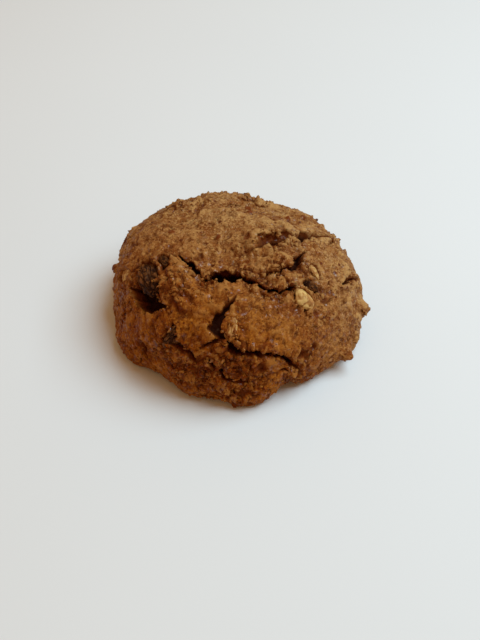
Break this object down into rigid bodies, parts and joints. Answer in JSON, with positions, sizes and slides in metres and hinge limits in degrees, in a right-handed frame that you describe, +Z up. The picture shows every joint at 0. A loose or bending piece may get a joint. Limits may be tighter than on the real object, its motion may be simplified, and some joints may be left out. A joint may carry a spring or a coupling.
{
  "type": "cookie",
  "caption": "Thick domed drop cookie with a cracked crown and front, raisins and walnut pieces baked into its skin, and a flat underside to rest on.",
  "frame": {"origin": "on the table under the middle of the cookie's outline", "axes": "+Z up from the flat underside, -Y towards the cracked front, +X to the right seen from the front"},
  "size_m": [0.0756, 0.0736, 0.0327],
  "materials": {
    "crumb": "matte baked dough, tan crust with browner torn crumb",
    "raisin": "wrinkled skin with a dull shine",
    "walnut": "baked nut meat, slightly oily"
  },
  "bodies": {
    "root": {"cookie_crumb": "crumb", "raisin_left": "raisin", "raisin_upper_left": "raisin", "raisin_lower_left": "raisin", "raisin_right": "raisin", "raisin_back": "raisin", "walnut_right": "walnut", "walnut_in_cleft": "walnut", "walnut_sliver": "walnut", "walnut_left": "walnut", "walnut_back": "walnut"}
  },
  "joints": []
}
